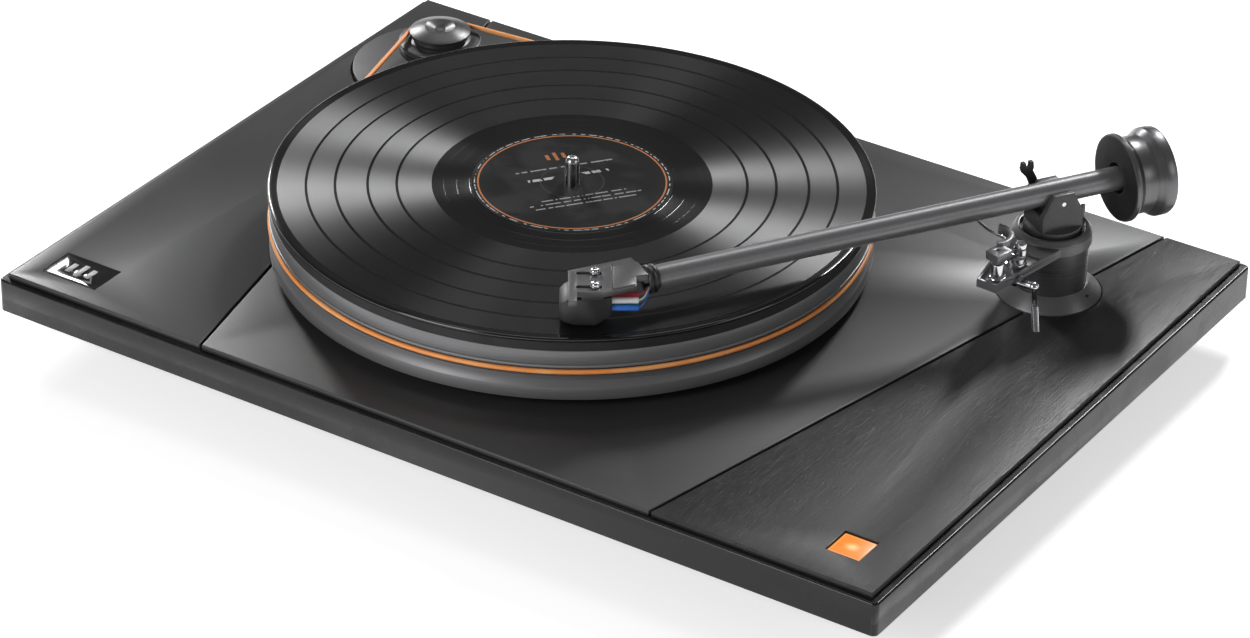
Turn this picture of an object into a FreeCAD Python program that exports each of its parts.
"""Belt-drive turntable: every piece is its own closed solid, written to parts/NAME.step.

Frame: millimetres, +Z up, +X to the right, +Y to the back. The origin is on the table,
under the middle of the plinth. The tonearm pieces are drawn in an arm frame (see Arm frame
below) and the headshell pieces in a headshell frame, then both are turned into place.
"""
import FreeCAD
import Part
import math
import os

# Plinth
PLINTH_WIDTH = 505.0
PLINTH_DEPTH = 365.0
PLINTH_THICKNESS = 17.5
PLINTH_BOTTOM = 22.0
PLINTH_TOP = PLINTH_BOTTOM + PLINTH_THICKNESS
PLINTH_CORNER = 3.0
PANEL_THICKNESS = 2.9
PANEL_TOP = PLINTH_TOP + PANEL_THICKNESS
PANEL_BORDER_X = 4.3
PANEL_BORDER_Y = 3.3
PANEL_SEAM = 1.4
SEAM_FRONT_X = 129.3
SEAM_BACK_X = 206.0

# Tray under the plinth, and feet
TRAY_X = 222.0
TRAY_Y = 152.0
TRAY_BOTTOM = 8.0
TRAY_WALL = 1.5
FOOT_X = 190.0
FOOT_Y = 120.0
FOOT_RADIUS = 21.0
FOOT_PAD = 3.0
STEM_RADIUS = 4.0

# Platter and record
PLATTER = (-32.6, -1.8)
PLATTER_RADIUS = 150.4
PLATTER_BOTTOM = PANEL_TOP + 5.1
PLATTER_TIER = 66.8
UPPER_TIER = 74.4
MAT_TOP = 79.4
RECORD_RADIUS = 150.75
RECORD_TOP = 81.6
LABEL_RADIUS = 50.0
SPINDLE_RADIUS = 3.6
SPINDLE_TOP = RECORD_TOP + 14.2
BEARING_RADIUS = 6.0

# Belt and motor
MOTOR = (-196.5, 117.5)
MOTOR_PLATE_RADIUS = 46.5
MOTOR_PLATE_TOP = PANEL_TOP + 2.3
MOTOR_RADIUS = 30.0
SHAFT_RADIUS = 2.0
BELT_HEIGHT = 63.0
BELT_RADIUS = 1.2
BELT_ON_PLATTER = 149.9
BELT_ON_PULLEY = 16.2

# Power button and badge
BUTTON = (220.6, -151.0)
BUTTON_HOLE = 18.0
BADGE = (-220.1, -157.1)
BADGE_SIZE = (33.0, 21.0)

# Arm frame: origin on the pillar axis at table height, +X along the tube to the back,
# +Y to the left of the tube when it is seen from the counterweight, +Z up.
PIVOT = (182.3, 100.7)
ARM_ANGLE = 57.4
TUBE_HEIGHT = PLINTH_TOP + 58.0
TUBE_RADIUS = 6.0
TUBE_BORE = 5.0
TUBE_FRONT = -219.5
TUBE_BACK = 36.0
PITCH_HEIGHT = TUBE_HEIGHT - 2.2
RUNNING = 0.05

# Arm base
PILLAR_RADIUS = 18.5
FLANGE_RADIUS = 26.2
FLANGE_TOP = PLINTH_TOP + 9.3
RING_RADIUS = 19.8
PLATFORM_BOTTOM = PLINTH_TOP + 32.0
PLATFORM_TOP = PLATFORM_BOTTOM + 4.4
RING_TOP = PLATFORM_TOP + 3.1
LIFT_POST = (-0.3, -54.5)
KNOB_BASE = (1.2, -38.4)
KNOB = (2.4, -36.6)
LEVER_AXIS = (-42.0, PLINTH_TOP + 29.0)

# Headshell frame: origin at the stylus, +X to the back of the cartridge, +Y to its left.
STYLUS = (-253.7, 5.1)
OFFSET_ANGLE = 23.2
SHELL_BOTTOM = PLINTH_TOP + 60.0
SHELL_TOP = PLINTH_TOP + 63.0
SCREW_BACK = 9.5
SCREW_SIDE = 6.35
CARTRIDGE_BACK = 16.9

# Counterweight
WEIGHT_FRONT = 34.0
WEIGHT_BACK = 57.0
WEIGHT_RADIUS = 22.3

# Pockets under the plinth for the circuit board and the sockets
POCKET_TOP = 36.0
BOARD_X = (140.0, 236.0)
BOARD_Y = (-168.0, -90.0)
BOARD_BOTTOM = 24.0
BOARD_PILLARS = [(150.0, -138.0), (213.0, -138.0), (150.0, -98.0), (213.0, -98.0)]
JACK_X = (60.0, 160.0)
JACK_FRONT = 160.0

# Sockets in the back edge: place along X and height
SOCKET_Z = 29.0
SOCKET_LEFT = (78.0, SOCKET_Z)
SOCKET_RIGHT = (96.0, SOCKET_Z)
GROUND = (114.0, SOCKET_Z)
POWER_IN = (142.0, SOCKET_Z)

# Yoke and the two ends of the clamp screw in the platform, measured from the pivot
YOKE_FLOOR = PLATFORM_TOP + 1.3
CHEEK_IN = 6.6
CHEEK_OUT = 9.7
CHEEK_HALF = 11.2
PLATFORM_SCREW = ((6.6, -45.5, 73.1), (10.4, -46.2, 73.1))

# Cartridge: top, bottom, and the four lead pins as side and height
CARTRIDGE_TOP = 96.4
CARTRIDGE_BOTTOM = 82.7
LEAD_PINS = [(2.6, 92.9), (-2.6, 92.9), (2.6, 88.9), (-2.6, 88.9)]


def vec(x, y, z):
    """A vector from three numbers."""
    return FreeCAD.Vector(x, y, z)


def box(x0, x1, y0, y1, z0, z1):
    """A box between two corners."""
    return Part.makeBox(x1 - x0, y1 - y0, z1 - z0, vec(x0, y0, z0))


def disc(radius, z0, z1, at=(0.0, 0.0)):
    """An upright cylinder."""
    return Part.makeCylinder(radius, z1 - z0, vec(at[0], at[1], z0))


def ring(outer, inner, z0, z1, at=(0.0, 0.0)):
    """An upright ring."""
    return disc(outer, z0, z1, at).cut(disc(inner, z0 - 1, z1 + 1, at))


def rod(radius, start, end):
    """A cylinder between two points."""
    start = vec(*start)
    along = vec(*end).sub(start)
    return Part.makeCylinder(radius, along.Length, start, along)


def prism(points, z0, z1):
    """A flat outline pulled up from z0 to z1."""
    corners = [vec(x, y, z0) for x, y in points]
    face = Part.Face(Part.makePolygon(corners + corners[:1]))
    return face.extrude(vec(0, 0, z1 - z0))


def side_prism(points, y0, y1):
    """An outline in X and Z pulled along Y from y0 to y1."""
    corners = [vec(x, y0, z) for x, z in points]
    face = Part.Face(Part.makePolygon(corners + corners[:1]))
    return face.extrude(vec(0, y1 - y0, 0))


def turned(profile, at=(0.0, 0.0)):
    """A solid turned about an upright axis from (radius, height) points."""
    corners = [vec(at[0] + r, at[1], z) for r, z in profile]
    face = Part.Face(Part.makePolygon(corners + corners[:1]))
    return face.revolve(vec(at[0], at[1], 0), vec(0, 0, 1), 360)


def turned_along(profile, height):
    """A solid turned about the tube's line from (distance along, radius) points."""
    corners = [vec(s, 0, height + r) for s, r in profile]
    face = Part.Face(Part.makePolygon(corners + corners[:1]))
    return face.revolve(vec(0, 0, height), vec(1, 0, 0), 360)


def arc_band(inner, outer, start, end, z0, z1, at):
    """Part of an upright ring, from one angle to another."""
    corners = [vec(at[0] + r, at[1], z) for r, z in
               ((inner, z0), (outer, z0), (outer, z1), (inner, z1))]
    face = Part.Face(Part.makePolygon(corners + corners[:1]))
    face.rotate(vec(at[0], at[1], 0), vec(0, 0, 1), start)
    return face.revolve(vec(at[0], at[1], 0), vec(0, 0, 1), end - start)


def arc_rod(radius, bend, start, end, z, at):
    """A round rod bent to an arc in a level plane."""
    first = math.radians(start)
    centre = vec(at[0] + bend * math.cos(first), at[1] + bend * math.sin(first), z)
    along = vec(-math.sin(first), math.cos(first), 0)
    wire = Part.Wire(Part.makeCircle(radius, centre, along))
    return Part.Face(wire).revolve(vec(at[0], at[1], 0), vec(0, 0, 1), end - start)


def fuse(shapes):
    """One solid from touching shapes."""
    whole = shapes[0]
    for shape in shapes[1:]:
        whole = whole.fuse(shape)
    return whole.removeSplitter()


def cut(shape, tools):
    """A shape less each of the tools."""
    for tool in tools:
        shape = shape.cut(tool)
    return shape


def solids(shape):
    """The shape as plain closed solids, one or a group."""
    if len(shape.Solids) == 1:
        return shape.Solids[0]
    return Part.makeCompound(shape.Solids)


def save(name, shape):
    """Write one piece to its file."""
    solids(shape).exportStep(os.path.join("parts", name + ".step"))


def at_pivot(shape):
    """Move a shape drawn about the pillar axis, square to the plinth, into place."""
    moved = shape.copy()
    moved.translate(vec(PIVOT[0], PIVOT[1], 0))
    return moved


def on_arm(shape):
    """Turn a shape from the arm frame into the plinth frame."""
    moved = shape.copy()
    moved.rotate(vec(0, 0, 0), vec(0, 0, 1), ARM_ANGLE)
    moved.translate(vec(PIVOT[0], PIVOT[1], 0))
    return moved


def on_shell(shape):
    """Turn a shape from the headshell frame into the plinth frame."""
    moved = shape.copy()
    moved.rotate(vec(0, 0, 0), vec(0, 0, 1), -OFFSET_ANGLE)
    moved.translate(vec(STYLUS[0], STYLUS[1], 0))
    return on_arm(moved)


def four(x, y):
    """The four mirrored places of one corner position."""
    return [(-x, -y), (x, -y), (-x, y), (x, y)]


# ---------------------------------------------------------------- plinth and panels

def seam_x(y):
    """How far from the middle the two seams are at a depth y."""
    front = -PLINTH_DEPTH / 2 + PANEL_BORDER_Y
    share = (y - front) / (-2 * front)
    return SEAM_FRONT_X + (SEAM_BACK_X - SEAM_FRONT_X) * share


def tray_screw_places():
    """Where the eight tray screws go, clear of the motor and the board."""
    return four(TRAY_X - 9, 60.0) + four(120.0, TRAY_Y - 9)


def plinth_body():
    """The slab that everything is fastened to."""
    half_x = PLINTH_WIDTH / 2
    half_y = PLINTH_DEPTH / 2
    slab = box(-half_x, half_x, -half_y, half_y, PLINTH_BOTTOM, PLINTH_TOP)
    upright = [e for e in slab.Edges if abs(e.tangentAt(e.FirstParameter).z) > 0.9]
    slab = slab.makeFillet(PLINTH_CORNER, upright)
    rims = [e for e in slab.Edges if abs(e.CenterOfMass.z - PLINTH_TOP) < 0.01]
    slab = slab.makeFillet(1.2, rims)
    below = PLINTH_BOTTOM - 1
    hole = BUTTON_HOLE / 2
    tools = [
        disc(MOTOR_RADIUS + 1, below, PLINTH_TOP + 1, MOTOR),
        disc(BEARING_RADIUS, below, PLINTH_TOP + 1, PLATTER),
        disc(PILLAR_RADIUS + 1, below, PLINTH_TOP + 1, PIVOT),
        box(BOARD_X[0], BOARD_X[1], BOARD_Y[0], BOARD_Y[1], BOARD_BOTTOM - 0.4, POCKET_TOP),
        box(BOARD_X[0], TRAY_X - 4, -TRAY_Y + 4, BOARD_Y[1], below, BOARD_BOTTOM),
        box(BUTTON[0] - hole, BUTTON[0] + hole, BUTTON[1] - hole, BUTTON[1] + hole,
            POCKET_TOP - 1, PLINTH_TOP + 1),
        box(JACK_X[0], JACK_X[1], JACK_FRONT, half_y + 1, below, POCKET_TOP),
        box(POWER_IN[0] - 6, POWER_IN[0] + 6, JACK_FRONT - 12, JACK_FRONT + 1, below, POCKET_TOP - 1),
        box(100.0, 112.0, BOARD_Y[1] - 40, JACK_FRONT + 1, below, 30.0),
        box(112.0 - 1, BOARD_X[0] + 1, -130.0, -118.0, below, 30.0),
        box(MOTOR[0], 101.0, 111.5, 123.5, below, 30.0),
    ]
    tools += [disc(1.5, below, 32.0, place) for place in tray_screw_places()]
    return cut(slab, tools)


def panel_outline(side):
    """The outline of one top panel: -1 left, 0 centre, 1 right."""
    x = PLINTH_WIDTH / 2 - PANEL_BORDER_X
    y = PLINTH_DEPTH / 2 - PANEL_BORDER_Y
    gap = PANEL_SEAM / 2
    if side == 0:
        front = seam_x(-y) - gap
        back = seam_x(y) - gap
        return [(-front, -y), (front, -y), (back, y), (-back, y)]
    front = seam_x(-y) + gap
    back = seam_x(y) + gap
    points = [(side * front, -y), (side * x, -y), (side * x, y), (side * back, y)]
    return points if side > 0 else points[::-1]


def panel(side):
    """One top panel with its cut-outs and softened top edges."""
    plate = prism(panel_outline(side), PLINTH_TOP, PANEL_TOP)
    rims = [e for e in plate.Edges if abs(e.CenterOfMass.z - PANEL_TOP) < 0.01]
    plate = plate.makeChamfer(0.35, rims)
    z0 = PLINTH_TOP - 1
    z1 = PANEL_TOP + 1
    tools = [
        disc(MOTOR_PLATE_RADIUS + 1.0, z0, z1, MOTOR),
        disc(FLANGE_RADIUS + 0.6, z0, z1, PIVOT),
        disc(38.0, z0, z1, PLATTER),
    ]
    if side > 0:
        hole = BUTTON_HOLE / 2
        tools.append(box(BUTTON[0] - hole, BUTTON[0] + hole,
                         BUTTON[1] - hole, BUTTON[1] + hole, z0, z1))
    if side < 0:
        half_x = BADGE_SIZE[0] / 2 + 0.2
        half_y = BADGE_SIZE[1] / 2 + 0.2
        tools.append(box(BADGE[0] - half_x, BADGE[0] + half_x,
                         BADGE[1] - half_y, BADGE[1] + half_y, PANEL_TOP - 1.2, z1))
    return cut(plate, tools)


def badge():
    """The small plate let into the left panel, with a plain mark of three bars."""
    half_x = BADGE_SIZE[0] / 2
    half_y = BADGE_SIZE[1] / 2
    pieces = [box(BADGE[0] - half_x, BADGE[0] + half_x, BADGE[1] - half_y, BADGE[1] + half_y,
                  PANEL_TOP - 1.2, PANEL_TOP - 0.1)]
    for step in (-1, 0, 1):
        x = BADGE[0] + step * 6.0
        tall = 5.5 - 1.5 * abs(step)
        pieces.append(box(x - 1.3, x + 1.3, BADGE[1] - tall, BADGE[1] + tall,
                          PANEL_TOP - 0.1, PANEL_TOP + 0.15))
    return fuse(pieces)


def bottom_tray():
    """The shallow tray that closes the plinth from below."""
    outer = box(-TRAY_X, TRAY_X, -TRAY_Y, TRAY_Y, TRAY_BOTTOM, PLINTH_BOTTOM)
    floor = TRAY_BOTTOM + TRAY_WALL
    inner = box(-TRAY_X + TRAY_WALL, TRAY_X - TRAY_WALL, -TRAY_Y + TRAY_WALL,
                TRAY_Y - TRAY_WALL, floor, PLINTH_BOTTOM + 1)
    shell = outer.cut(inner)
    bosses = [disc(5.0, floor, PLINTH_BOTTOM, place) for place in tray_screw_places()]
    bosses += [disc(8.0, floor, PLINTH_BOTTOM, place) for place in four(FOOT_X, FOOT_Y)]
    bosses += [disc(3.0, floor, BOARD_BOTTOM, place) for place in BOARD_PILLARS]
    shell = fuse([shell] + bosses)
    tools = []
    for place in tray_screw_places():
        tools.append(disc(1.5, TRAY_BOTTOM - 1, PLINTH_BOTTOM + 1, place))
        tools.append(turned([(0, TRAY_BOTTOM - 1), (3.0, TRAY_BOTTOM - 1), (3.0, TRAY_BOTTOM),
                             (1.5, TRAY_BOTTOM + 1.5), (0, TRAY_BOTTOM + 1.5)], place))
    tools += [disc(STEM_RADIUS, TRAY_BOTTOM - 1, PLINTH_BOTTOM + 1, place)
              for place in four(FOOT_X, FOOT_Y)]
    return cut(shell, tools)


def tray_screws():
    """Eight countersunk screws that hold the tray."""
    z = TRAY_BOTTOM
    profile = [(0, z), (3.0, z), (1.5, z + 1.5), (1.5, z + 22), (0, z + 22)]
    return Part.makeCompound([turned(profile, place) for place in tray_screw_places()])


def feet():
    """Four feet, each a disc with a stem that is held in a tray boss."""
    z = TRAY_BOTTOM
    profile = [(0, FOOT_PAD), (FOOT_RADIUS, FOOT_PAD), (FOOT_RADIUS, z - 0.8),
               (FOOT_RADIUS - 0.8, z), (STEM_RADIUS, z), (STEM_RADIUS, PLINTH_BOTTOM), (0, PLINTH_BOTTOM)]
    return Part.makeCompound([turned(profile, place) for place in four(FOOT_X, FOOT_Y)])


def foot_pads():
    """The soft pads under the feet."""
    outer = FOOT_RADIUS - 1.5
    profile = [(0, 0.6), (outer - 6, 0.6), (outer - 5, 0), (outer - 1, 0), (outer, 1.0),
               (outer, FOOT_PAD), (0, FOOT_PAD)]
    return Part.makeCompound([turned(profile, place) for place in four(FOOT_X, FOOT_Y)])


# ---------------------------------------------------------------- power and sockets

def power_button():
    """The square lit cap with its stem."""
    half = BUTTON_HOLE / 2 - 0.45
    cap = box(BUTTON[0] - half, BUTTON[0] + half, BUTTON[1] - half, BUTTON[1] + half,
              PLINTH_TOP - 1.5, PANEL_TOP - 0.8)
    stem = box(BUTTON[0] - 4, BUTTON[0] + 4, BUTTON[1] - 4, BUTTON[1] + 4,
               32.2, PLINTH_TOP - 1.5)
    return fuse([cap, stem])


def circuit_board():
    """The motor speed and phono board in the plinth's pocket."""
    top = BOARD_BOTTOM + 1.6
    return box(BOARD_X[0] + 4, BOARD_X[1] - 4, BOARD_Y[0] + 4, BOARD_Y[1] - 4, BOARD_BOTTOM, top)


def board_parts():
    """The switch under the button, then chips, capacitors, a relay and two lamps."""
    top = BOARD_BOTTOM + 1.6
    switch = box(BUTTON[0] - 6, BUTTON[0] + 6, BUTTON[1] - 6, BUTTON[1] + 6, top, top + 3.6)
    pieces = [
        fuse([switch, disc(1.7, top + 3.6, top + 5.5, BUTTON)]),
        box(160, 172, -125, -113, top, top + 1.6),
        box(180, 190, -125, -118, top, top + 1.6),
        box(160, 175, -108, -98, top, top + 9.5),
        box(196, 208, -112, -104, top, top + 7.0),
        disc(4.0, top, top + 9.0, (182.0, -103.0)),
        disc(4.0, top, top + 9.0, (191.0, -101.0)),
    ]
    pieces += [disc(1.5, top, top + 4.0, (BUTTON[0] + x, BUTTON[1] + y))
               for x, y in ((-7.8, 7.8), (7.8, 7.8))]
    return Part.makeCompound(pieces)


def jack_plate():
    """The plate at the inner wall of the socket bay."""
    z0, z1 = PLINTH_BOTTOM + 0.5, POCKET_TOP
    plate = box(JACK_X[0], JACK_X[1], JACK_FRONT, JACK_FRONT + 2, z0, z1)
    y0, y1 = JACK_FRONT - 1, JACK_FRONT + 3
    tools = [rod(3.2, (x, y0, z), (x, y1, z)) for x, z in (SOCKET_LEFT, SOCKET_RIGHT)]
    tools.append(rod(2.0, (GROUND[0], y0, GROUND[1]), (GROUND[0], y1, GROUND[1])))
    tools.append(rod(4.0, (POWER_IN[0], y0, POWER_IN[1]), (POWER_IN[0], y1, POWER_IN[1])))
    return cut(plate, tools)


def phono_sockets():
    """The two round signal sockets, each a flange and a barrel on the plate."""
    sockets = []
    y = JACK_FRONT + 2
    for x, z in (SOCKET_LEFT, SOCKET_RIGHT):
        flange = rod(5.2, (x, y, z), (x, y + 1.6, z))
        barrel = rod(4.15, (x, y + 1.6, z), (x, y + 10.0, z))
        neck = rod(3.2, (x, JACK_FRONT, z), (x, y, z))
        body = fuse([flange, barrel, neck])
        sockets.append(body.cut(rod(1.6, (x, y + 2, z), (x, y + 11, z))))
    return Part.makeCompound(sockets)


def ground_post():
    """The earth terminal: a threaded post with a thumb nut."""
    x, z = GROUND
    y = JACK_FRONT + 2
    post = rod(2.0, (x, JACK_FRONT, z), (x, y + 10, z))
    nut = rod(4.2, (x, y + 2.0, z), (x, y + 8.0, z))
    washer = rod(4.6, (x, y, z), (x, y + 1.0, z))
    return fuse([post, nut, washer])


def power_inlet():
    """The low-voltage inlet: a barrel with a centre pin."""
    x, z = POWER_IN
    y = JACK_FRONT + 2
    flange = rod(6.0, (x, y, z), (x, y + 1.8, z))
    neck = rod(4.0, (x, JACK_FRONT - 10, z), (x, y, z))
    body = fuse([flange, neck]).cut(rod(2.8, (x, JACK_FRONT - 8, z), (x, y + 3, z)))
    return fuse([body, rod(1.0, (x, JACK_FRONT - 9, z), (x, y + 0.5, z))])


# ---------------------------------------------------------------- platter

def bearing_base():
    """The flange and fixed steel shaft that the platter turns on."""
    profile = [(0, PLINTH_TOP), (34.0, PLINTH_TOP), (34.0, PLINTH_TOP + 4.2),
               (33.2, PLINTH_TOP + 5.0), (14.0, PLINTH_TOP + 5.0), (12.5, PLINTH_TOP + 6.0),
               (BEARING_RADIUS, PLINTH_TOP + 6.0), (BEARING_RADIUS, 68.0), (0, 68.0)]
    shaft = disc(BEARING_RADIUS, PLINTH_BOTTOM + 2, PLINTH_TOP, PLATTER)
    cup = Part.makeSphere(3.0, vec(PLATTER[0], PLATTER[1], 69.6))
    return fuse([turned(profile, PLATTER), shaft]).cut(cup)


def bearing_ball():
    """The ball that carries the platter's weight."""
    return Part.makeSphere(3.0, vec(PLATTER[0], PLATTER[1], 69.6))


def cap_screws():
    """Three screws on the bearing flange and three on the motor plate."""
    screws = []
    for centre, bolt_circle, seat, first in ((PLATTER, 25.0, PLINTH_TOP + 5.0, 90),
                                             (MOTOR, 14.0, MOTOR_PLATE_TOP, 30)):
        for turn in (first, first + 120, first + 240):
            a = math.radians(turn)
            place = (centre[0] + bolt_circle * math.cos(a), centre[1] + bolt_circle * math.sin(a))
            head = disc(2.8, seat, seat + 1.6, place)
            screws.append(head.cut(disc(1.2, seat + 0.7, seat + 2, place)))
    return Part.makeCompound(screws)


def bearing_sleeve():
    """The bronze sleeve in the platter hub, closed above the ball."""
    bore = BEARING_RADIUS + RUNNING
    profile = [(bore, 49.0), (11.0, 49.0), (11.0, UPPER_TIER), (0, UPPER_TIER),
               (0, 72.65), (bore, 72.65)]
    return turned(profile, PLATTER)


def spindle():
    """The centre pin that the record's hole fits over."""
    r = SPINDLE_RADIUS
    top = SPINDLE_TOP
    profile = [(0, UPPER_TIER), (9.0, UPPER_TIER), (9.0, MAT_TOP - 0.6), (r, MAT_TOP - 0.6),
               (r, top - 2.4), (r - 0.5, top - 1.0), (r - 1.6, top - 0.2), (0, top)]
    return turned(profile, PLATTER)


def platter_lower():
    """The heavy lower platter with its belt groove."""
    r = PLATTER_RADIUS
    z = PLATTER_BOTTOM
    root = BELT_ON_PLATTER - BELT_RADIUS - 0.3
    profile = [(11.0, 50.0), (24.0, 50.0), (30.0, 57.0), (128.0, 57.0), (134.0, z), (r - 0.6, z),
               (r, z + 0.6), (r, z + 6.6), (r - 2.9, z + 9.5), (r - 2.9, 59.6), (r - 0.3, 60.6),
               (root, 61.3), (root, 64.7), (r - 0.1, 65.3), (r, PLATTER_TIER - 0.4),
               (r - 0.4, PLATTER_TIER), (11.0, PLATTER_TIER)]
    return turned(profile, PLATTER)


def platter_upper():
    """The upper platter that sits on the lower one."""
    r = PLATTER_RADIUS - 0.4
    profile = [(11.0, PLATTER_TIER), (r - 0.5, PLATTER_TIER), (r, PLATTER_TIER + 0.5),
               (r, UPPER_TIER - 0.3), (r - 0.3, UPPER_TIER), (11.0, UPPER_TIER)]
    return turned(profile, PLATTER)


def platter_mat():
    """The mat under the record."""
    r = PLATTER_RADIUS - 0.6
    profile = [(9.0, UPPER_TIER), (r, UPPER_TIER), (r, MAT_TOP - 0.3), (r - 0.3, MAT_TOP),
               (LABEL_RADIUS + 2, MAT_TOP), (LABEL_RADIUS + 1, MAT_TOP - 0.6),
               (9.0, MAT_TOP - 0.6)]
    return turned(profile, PLATTER)


def record_disc():
    """The record, a little thicker at its label and its rim."""
    r = RECORD_RADIUS
    low, top = MAT_TOP, RECORD_TOP
    profile = [(SPINDLE_RADIUS + 0.03, low - 0.5), (LABEL_RADIUS, low - 0.5),
               (LABEL_RADIUS + 1, low), (r - 0.8, low), (r, low + 0.7), (r, top - 0.7),
               (r - 0.8, top), (LABEL_RADIUS + 1, top - 0.25), (LABEL_RADIUS, top - 0.1),
               (SPINDLE_RADIUS + 0.03, top - 0.1)]
    return turned(profile, PLATTER)


def record_label():
    """The paper label on top of the record."""
    return ring(LABEL_RADIUS, SPINDLE_RADIUS + 0.03, RECORD_TOP - 0.1, RECORD_TOP, PLATTER)


# ---------------------------------------------------------------- motor and belt

def motor_plate():
    """The round plate that carries the motor."""
    r = MOTOR_PLATE_RADIUS
    z = MOTOR_PLATE_TOP
    profile = [(8.0, PLINTH_TOP), (r, PLINTH_TOP), (r, z - 0.4), (r - 0.4, z), (8.0, z)]
    return turned(profile, MOTOR)


def motor_can():
    """The motor's case with its top bearing."""
    r = MOTOR_RADIUS
    z0, z1 = PLINTH_BOTTOM + 0.5, PLINTH_TOP
    bore = SHAFT_RADIUS + RUNNING
    outer = turned([(0, z0), (r - 1, z0), (r, z0 + 1), (r, z1), (8.0, z1), (8.0, z1 + 3),
                    (0, z1 + 3)], MOTOR)
    room = disc(r - 1.5, z0 + 1.5, z1 - 2.0, MOTOR)
    return cut(outer, [room, disc(bore, z0 + 0.5, z1 + 4, MOTOR)])


def motor_stator():
    """The ring of windings inside the case."""
    return ring(MOTOR_RADIUS - 1.5, 17.2, 26.0, 35.0, MOTOR)


def motor_rotor():
    """The magnet rotor with its shaft."""
    return fuse([disc(16.5, 25.5, 35.5, MOTOR), disc(SHAFT_RADIUS, 23.4, 66.0, MOTOR)])


def pulley():
    """The stepped pulley: upper groove for 33, lower groove for 45."""
    z = BELT_HEIGHT
    root = BELT_ON_PULLEY - BELT_RADIUS - 0.3
    slow = BELT_ON_PULLEY
    fast = 21.7
    profile = [(SHAFT_RADIUS, 49.0), (9.0, 49.0), (12.0, 51.5), (fast - 0.6, 53.6),
               (fast, 54.2), (fast, 55.2), (fast - 1.5, 56.2), (fast - 1.5, 58.0),
               (fast, 59.0), (fast, 59.6), (fast - 0.8, 60.3), (slow + 0.2, 60.6),
               (slow + 0.2, 61.1), (root, z - 1.3), (root, z + 1.3), (slow, 65.0),
               (slow, 65.4), (slow - 0.3, 65.6), (8.2, 68.0), (7.8, 67.9), (3.4, 66.4),
               (2.8, 66.0), (SHAFT_RADIUS, 66.0)]
    return turned(profile, MOTOR)


def belt():
    """The round belt, in two arcs and two straight runs."""
    dx = MOTOR[0] - PLATTER[0]
    dy = MOTOR[1] - PLATTER[1]
    span = math.hypot(dx, dy)
    toward = math.degrees(math.atan2(dy, dx))
    lean = math.degrees(math.acos((BELT_ON_PLATTER - BELT_ON_PULLEY) / span))
    z = BELT_HEIGHT
    big = arc_rod(BELT_RADIUS, BELT_ON_PLATTER, toward + lean, toward - lean + 360, z, PLATTER)
    small = arc_rod(BELT_RADIUS, BELT_ON_PULLEY, toward - lean, toward + lean, z, MOTOR)
    runs = []
    for sign in (1, -1):
        a = math.radians(toward + sign * lean)
        start = (PLATTER[0] + BELT_ON_PLATTER * math.cos(a),
                 PLATTER[1] + BELT_ON_PLATTER * math.sin(a), z)
        end = (MOTOR[0] + BELT_ON_PULLEY * math.cos(a),
               MOTOR[1] + BELT_ON_PULLEY * math.sin(a), z)
        runs.append(rod(BELT_RADIUS, start, end))
    return fuse([big, small] + runs)


# ---------------------------------------------------------------- arm base

def arm_flange():
    """The cone-shaped base that the pillar slides in."""
    bore = PILLAR_RADIUS + RUNNING
    r = FLANGE_RADIUS
    profile = [(bore, PLINTH_TOP), (r, PLINTH_TOP), (r, PANEL_TOP + 0.4),
               (bore + 0.9, FLANGE_TOP), (bore, FLANGE_TOP)]
    cone = turned(profile)
    return at_pivot(cone.cut(rod(1.5, (bore - 1, -1.2, 45.3), (r + 1, -1.2, 45.3))))


def flange_screw():
    """The grub screw that holds the pillar's height."""
    bore = PILLAR_RADIUS + RUNNING + 0.1
    screw = rod(1.5, (bore, -1.2, 45.3), (bore + 4.0, -1.2, 45.3))
    socket = rod(0.7, (bore + 2.5, -1.2, 45.3), (bore + 5.0, -1.2, 45.3))
    return at_pivot(screw.cut(socket))


def arm_pillar():
    """The upright tube of the arm, open for its bearings and wiring."""
    profile = [(10.0, 27.0), (PILLAR_RADIUS, 27.0), (PILLAR_RADIUS, PLATFORM_TOP),
               (10.0, PLATFORM_TOP)]
    return at_pivot(turned(profile))


def yaw_bearings():
    """Two ring bearings in the pillar."""
    bore = 4.0 + RUNNING
    return at_pivot(Part.makeCompound([ring(10.0, bore, 69.0, 74.0), ring(10.0, bore, 46.0, 51.0)]))


def turret_ring():
    """The bevelled ring around the top of the pillar, with its small stop post."""
    z0 = PLATFORM_TOP
    z1 = RING_TOP
    profile = [(16.4, z0), (RING_RADIUS, z0), (RING_RADIUS, z0 + 0.9), (17.9, z1), (16.4, z1)]
    turn = math.radians(61.5)
    post = disc(1.1, z0 + 1, z1 + 6.6, (17.3 * math.cos(turn), 17.3 * math.sin(turn)))
    return at_pivot(fuse([turned(profile), post]))


def lift_platform():
    """The clamp ring with a tongue that carries the arm lift."""
    z0, z1 = PLATFORM_BOTTOM, PLATFORM_TOP
    tongue = prism([(-15.6, -12.2), (-7.1, -62.2), (3.9, -62.8), (12.8, -15.1)], z0, z1)
    plate = fuse([disc(RING_RADIUS, z0, z1), tongue])
    pocket = prism([(-11.8, -27.0), (-6.1, -61.1), (3.1, -61.6), (9.5, -27.0)], z1 - 1.2, z1 + 1)
    bores = [disc(PILLAR_RADIUS, z0 - 1, z1 + 1), disc(2.4, z0 - 1, z1 + 1, LIFT_POST)]
    hole = rod(1.0, PLATFORM_SCREW[0], PLATFORM_SCREW[1])
    return at_pivot(cut(plate, [pocket, hole] + bores))


def platform_screw():
    """The bright screw in the side of the platform."""
    inner, outer = PLATFORM_SCREW
    along = vec(*outer).sub(vec(*inner)).normalize()
    seat = vec(*inner).add(along * 1.0)
    end = seat.add(along * 0.9)
    return at_pivot(fuse([rod(1.0, inner, tuple(seat)), rod(1.7, tuple(seat), tuple(end))]))


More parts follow.
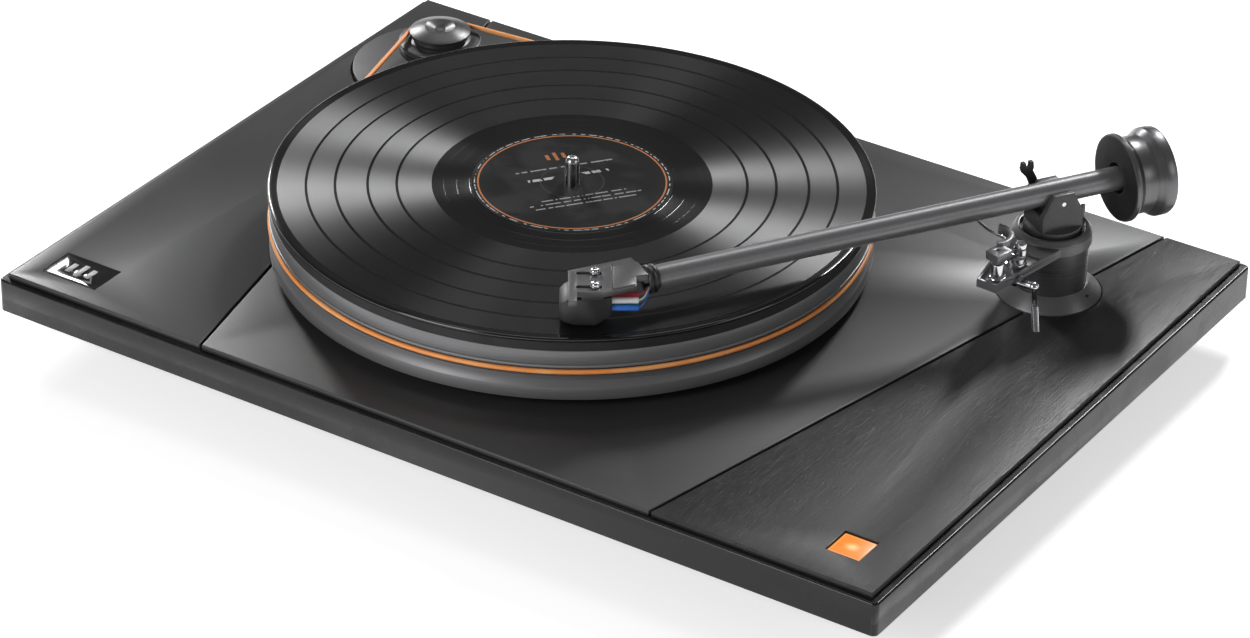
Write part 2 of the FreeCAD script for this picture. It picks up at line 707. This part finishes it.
def lift_sleeve():
    """The polished cylinder that the lift rises in."""
    z = PLATFORM_TOP - 1.2
    profile = [(2.05, z), (4.4, z), (4.4, z + 1.3), (3.1, z + 1.8), (3.1, 82.8), (2.6, 83.3),
               (2.05, 83.3)]
    return at_pivot(turned(profile, LIFT_POST))


def lift_housing():
    """The block under the platform that holds the lever's barrel."""
    z1 = PLATFORM_BOTTOM
    y, z = LEVER_AXIS
    block = fuse([box(-4.0, 4.4, y - 2.9, y + 2.9, z, z1), rod(2.9, (-4.0, y, z), (4.4, y, z))])
    return at_pivot(block.cut(rod(1.55, (-3.0, y, z), (6.0, y, z))))


def lift_bracket():
    """The rising rod with its block and a curved wall."""
    x, y = LIFT_POST
    z0, z1 = 85.0, 89.3
    block = prism([(x - 5.6, y - 2.2), (x + 2.4, y - 4.6), (x + 4.8, y + 5.4), (x - 3.2, y + 7.2)],
                  z0, z1)
    wall = arc_band(8.0, 10.2, -45.0, 98.0, 84.8, 90.8, (-10.5, -42.5))
    shape = fuse([disc(2.0, 72.2, z0, LIFT_POST), block, wall])
    return at_pivot(cut(shape, [disc(1.0, 87.5, 91.0, (x - 1.2, y + 1.6))]))


def lift_wire():
    """The thin curved rod that carries the tube over the whole record."""
    return at_pivot(arc_rod(0.7, 41.4, 230.0, 266.3, 89.5, (0.0, 0.0)))


def cue_lever():
    """The lever with its barrel and grip."""
    y, z = LEVER_AXIS
    pin = rod(1.5, (-2.0, y, z), (5.4, y, z))
    barrel = rod(2.3, (5.4, y, z), (12.4, y, z))
    eye = Part.makeSphere(2.5, vec(13.6, y, z))
    arm = rod(1.3, (13.6, y, z), (16.4, y - 3.0, z - 9.0))
    grip = rod(1.9, (16.4, y - 3.0, z - 9.0), (19.8, y - 6.6, z - 20.0))
    return at_pivot(fuse([pin, barrel, eye, arm, grip]))


def knob_base():
    """The fixed collar under the bias knob."""
    z = PLATFORM_TOP - 1.2
    profile = [(0, z), (5.2, z), (5.2, z + 1.6), (4.5, z + 2.0), (4.5, z + 2.8), (5.2, z + 3.2),
               (5.2, z + 5.4), (4.8, z + 5.8), (0, z + 5.8)]
    return at_pivot(fuse([turned(profile, KNOB_BASE), disc(1.5, z, 86.0, KNOB)]))


def bias_knob():
    """The knurled knob with its small cap."""
    profile = [(1.55, 81.0), (3.3, 81.0), (3.5, 81.3), (3.5, 84.0), (2.9, 84.5), (2.9, 86.6),
               (2.5, 87.0), (0, 87.0), (0, 86.3), (1.55, 86.3)]
    return at_pivot(turned(profile, KNOB))


# ---------------------------------------------------------------- arm, turning parts

def bearing_yoke():
    """The turning base with its two cheeks."""
    z = YOKE_FLOOR
    base = disc(14.4, z, z + 4.0).cut(disc(4.0, z - 1, z + 5))
    s = CHEEK_HALF
    outline = [(-s, z + 3.5), (s, z + 3.5), (s, 89.5), (5.4, 100.4), (-5.4, 100.4), (-s, 89.5)]
    cheeks = [side_prism(outline, CHEEK_IN, CHEEK_OUT), side_prism(outline, -CHEEK_OUT, -CHEEK_IN)]
    front = box(-s, -s + 3.0, -CHEEK_IN - 0.5, CHEEK_IN + 0.5, z + 3.5, 88.3)
    yoke = fuse([base, front] + cheeks)
    bore = rod(1.1, (0, -12, PITCH_HEIGHT), (0, 12, PITCH_HEIGHT))
    return on_arm(yoke.cut(bore))


def yaw_shaft():
    """The shaft that turns in the pillar's bearings."""
    return at_pivot(fuse([disc(4.0, 42.0, YOKE_FLOOR + 4.0), ring(6.0, 3.9, 43.0, 45.2)]))


def pivot_screws():
    """The two pointed screws that the arm tilts on."""
    screws = []
    for side in (1, -1):
        screw = rod(1.1, (0, side * 7.2, PITCH_HEIGHT), (0, side * 9.9, PITCH_HEIGHT))
        point = Part.makeCone(0.2, 0.8, 1.2, vec(0, side * 6.0, PITCH_HEIGHT), vec(0, side, 0))
        screws.append(fuse([screw, point]))
    return on_arm(Part.makeCompound(screws))


def pivot_axle():
    """The cross axle in the tube, with a cup at each end for the pointed screws."""
    axle = rod(1.5, (0, -6.4, PITCH_HEIGHT), (0, 6.4, PITCH_HEIGHT))
    cups = [Part.makeCone(0.3, 0.95, 1.3, vec(0, side * 5.9, PITCH_HEIGHT), vec(0, side, 0))
            for side in (1, -1)]
    return on_arm(cut(axle, cups))


def thread_fork():
    """The small fork that stands on the left cheek."""
    foot = box(-8.0, -2.2, CHEEK_OUT, 13.2, 93.6, 96.6)
    stem = side_prism([(-7.6, 96.6), (-3.4, 96.6), (-4.6, 101.0), (-6.8, 105.2), (-6.4, 107.4),
                       (-13.6, 107.4), (-12.6, 104.6), (-9.4, 101.0)], 10.6, 12.8)
    prongs = [side_prism([(s - 1.3, 107.0), (s + 1.3, 107.0), (s + 1.0, 110.2), (s - 1.0, 110.2)],
                         10.6, 12.8) for s in (-12.0, -7.8)]
    return on_arm(fuse([foot, stem] + prongs))


def arm_tube():
    """The long tube, with its cross hole for the axle."""
    z = TUBE_HEIGHT
    tube = rod(TUBE_RADIUS, (TUBE_FRONT, 0, z), (TUBE_BACK, 0, z))
    bore = rod(TUBE_BORE, (TUBE_FRONT - 1, 0, z), (TUBE_BACK + 1, 0, z))
    cross = rod(1.5 + RUNNING, (0, -9, PITCH_HEIGHT), (0, 9, PITCH_HEIGHT))
    return on_arm(cut(tube, [bore, cross]))


def arm_collar():
    """The ribbed collar at the front of the tube."""
    s = TUBE_FRONT
    profile = [(s, TUBE_RADIUS), (s, 6.9), (s + 1.2, 7.2), (s + 2.0, 6.6), (s + 2.8, 6.6),
               (s + 3.6, 7.2), (s + 4.8, 6.9), (s + 5.4, TUBE_RADIUS)]
    return on_arm(turned_along(profile, TUBE_HEIGHT))


def headshell():
    """The flat shell with slots, a finger lift and a tongue that enters the tube."""
    outline = [(-3.2, 8.5), (-3.2, -19.5), (0.8, -19.5), (0.8, -11.1), (14.1, -11.1),
               (29.0, -4.7), (29.0, 2.2), (34.7, 4.6), (29.8, 16.0), (26.6, 21.2)]
    plate = prism(outline, SHELL_BOTTOM, SHELL_TOP)
    block = prism([(17.9, 10.9), (17.9, -8.9), (28.4, -4.4), (28.4, 3.0), (34.7, 4.6), (29.8, 16.0)],
                  SHELL_TOP - 1, SHELL_TOP + 0.6)
    slots = []
    for side in (SCREW_SIDE, -SCREW_SIDE):
        slots.append(box(1.8, 11.4, side - 1.35, side + 1.35, SHELL_BOTTOM - 1, SHELL_TOP + 2))
        slots += [disc(1.35, SHELL_BOTTOM - 1, SHELL_TOP + 2, (x, side)) for x in (1.8, 11.4)]
    groove = [box(17.4, 17.9, -7.6, 14.0, SHELL_TOP - 0.5, SHELL_TOP + 2)]
    shell = cut(fuse([plate, block]), slots + groove)
    tongue = rod(TUBE_BORE, (-222.0, 0, TUBE_HEIGHT), (-206.0, 0, TUBE_HEIGHT))
    tongue = tongue.common(box(-223, -205, -6, 6, TUBE_HEIGHT + 1.2, TUBE_HEIGHT + 6))
    return fuse([on_shell(shell), on_arm(tongue)])


def headshell_screws():
    """The two screws that hold the cartridge."""
    screws = []
    for side in (SCREW_SIDE, -SCREW_SIDE):
        z = SHELL_TOP
        profile = [(0, 94.0), (1.2, 94.0), (1.2, z), (2.5, z), (2.5, z + 0.5), (2.15, z + 0.6),
                   (2.15, z + 1.9), (1.5, z + 2.5), (0, z + 2.6)]
        screws.append(turned(profile, (SCREW_BACK, side)))
    return on_shell(Part.makeCompound(screws))


def cartridge_body():
    """The cartridge under the headshell."""
    low = CARTRIDGE_BOTTOM
    side = side_prism([(-7.2, 94.0), (-3.6, CARTRIDGE_TOP), (CARTRIDGE_BACK, CARTRIDGE_TOP),
                       (CARTRIDGE_BACK, 87.0), (10.4, low), (-0.1, low), (-7.2, 85.4)], -9, 9)
    plan = prism([(-7.2, -7.0), (-5.2, -8.5), (9.4, -8.5), (CARTRIDGE_BACK, -6.2),
                  (CARTRIDGE_BACK, 6.2), (9.4, 8.5), (-5.2, 8.5), (-7.2, 7.0)], 80, SHELL_BOTTOM + 1)
    tools = [disc(1.2, 94.0, SHELL_BOTTOM + 1, (SCREW_BACK, side_y))
             for side_y in (SCREW_SIDE, -SCREW_SIDE)]
    tools.append(box(-6.0, 12.0, -3.8, 3.8, low - 1, 84.5))
    spacer = box(3.0, 13.5, -9.0, 9.0, CARTRIDGE_TOP, SHELL_BOTTOM)
    body = cut(fuse([side.common(plan), spacer]), tools)
    x = CARTRIDGE_BACK
    pins = [rod(0.6, (x - 1, y, z), (x + 2.4, y, z)) for y, z in LEAD_PINS]
    return on_shell(fuse([body] + pins))


def stylus_unit():
    """The stylus holder, its cantilever and the tip."""
    holder = side_prism([(-4.6, 84.5), (9.8, 84.5), (8.6, 82.9), (3.4, 82.9), (2.2, 84.1),
                         (-3.6, 84.1)], -3.6, 3.6)
    beam = rod(0.3, (3.6, 0, 83.6), (-0.3, 0, 82.35))
    tip = Part.makeCone(0.05, 0.35, 0.7, vec(0, 0, RECORD_TOP + 0.12))
    return on_shell(fuse([holder, beam, tip]))


def lead(y, z):
    """One cartridge lead: a sleeve on its pin, then a wire that bends into the tube."""
    x = CARTRIDGE_BACK + 2.4
    turn = 0.6 if y > 0 else -0.6
    high = 95.7 if z > 90 else 94.3
    points = [(x + 9.5, y, z), (x + 12.0, y + 0.4, z + 0.3), (x + 15.6, 6.6 + turn, high - 0.4),
              (x + 20.0, 11.0 + turn, high - 0.1), (x + 26.0, 13.9 + turn, high),
              (x + 32.0, 16.5 + turn, high)]
    curve = Part.BSplineCurve()
    curve.interpolate([vec(*p) for p in points])
    path = Part.Wire(curve.toShape())
    along = curve.tangent(curve.FirstParameter)[0]
    section = Part.Wire(Part.makeCircle(0.42, vec(*points[0]), along))
    wire = path.makePipeShell([section], True, False)
    sleeve = rod(1.5, (x - 1.9, y, z), (x + 11.0, y, z))
    return fuse([sleeve, wire]).cut(rod(0.6, (x - 3, y, z), (x, y, z)))


def cartridge_leads():
    """The four leads from the cartridge into the tube."""
    return on_shell(Part.makeCompound([lead(y, z) for y, z in LEAD_PINS]))


def weight_shaft():
    """The rod at the back of the tube that carries the counterweight."""
    z = TUBE_HEIGHT
    return on_arm(rod(TUBE_BORE, (14.0, 0, z), (WEIGHT_BACK - 1.0, 0, z)))


def counterweight():
    """The spool-shaped counterweight."""
    r = WEIGHT_RADIUS
    bore = TUBE_BORE + RUNNING
    front, back = WEIGHT_FRONT, WEIGHT_BACK
    profile = [(front, 8.2), (front, r - 0.9), (front + 0.7, r - 0.2), (front + 2.3, r - 0.2),
               (front + 5.5, r - 2.8), (front + 12.5, r - 2.8), (front + 17.0, r),
               (back - 1.2, r), (back, r - 1.1), (back, 18.0), (back - 15.0, 18.0),
               (back - 15.0, 8.0), (back, 8.0), (back, bore), (front + 6.0, bore),
               (front + 6.0, 8.2)]
    return on_arm(turned_along(profile, TUBE_HEIGHT))


def main():
    """Make every piece and write it."""
    os.makedirs("parts", exist_ok=True)
    makers = [
        plinth_body, badge, bottom_tray, tray_screws, feet, foot_pads, power_button, circuit_board,
        board_parts, jack_plate, phono_sockets, ground_post, power_inlet, bearing_base,
        bearing_ball, cap_screws, bearing_sleeve, spindle, platter_lower, platter_upper,
        platter_mat, record_disc, record_label, motor_plate, motor_can, motor_stator, motor_rotor,
        pulley, belt, arm_flange, flange_screw, arm_pillar, yaw_bearings, turret_ring,
        lift_platform, platform_screw, lift_sleeve, lift_housing, lift_bracket, lift_wire,
        cue_lever, knob_base, bias_knob, bearing_yoke, yaw_shaft, pivot_screws, pivot_axle,
        thread_fork, arm_tube, arm_collar, headshell, headshell_screws, cartridge_body,
        cartridge_leads, stylus_unit, weight_shaft, counterweight,
    ]
    for maker in makers:
        save(maker.__name__, maker())
    for name, side in (("left_panel", -1), ("centre_panel", 0), ("right_panel", 1)):
        save(name, panel(side))


main()
